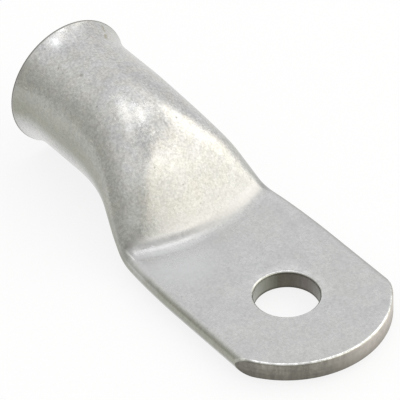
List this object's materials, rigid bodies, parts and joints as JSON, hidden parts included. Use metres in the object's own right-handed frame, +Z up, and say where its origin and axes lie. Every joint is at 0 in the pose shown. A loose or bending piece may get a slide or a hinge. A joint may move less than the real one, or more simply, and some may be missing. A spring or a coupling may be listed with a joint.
{
  "type": "compression ring terminal",
  "caption": "Flared copper tube terminal with a straight wire barrel, pressed down a ramp into a flat round-nosed tongue with a stud hole.",
  "frame": {"origin": "centre of the stud hole on the tongue's contact face (its underside)", "axes": "+X along the terminal from the stud hole to the rounded tip, with the wire barrel towards -X; +Z up the stud's axis, away from the contact face; +Y across the tongue"},
  "size_m": [0.0746, 0.0304, 0.0225],
  "materials": {
    "tinned_copper": "satin tin plating over copper, finely mottled"
  },
  "bodies": {
    "root": {"ring_terminal": "tinned_copper"}
  },
  "joints": []
}
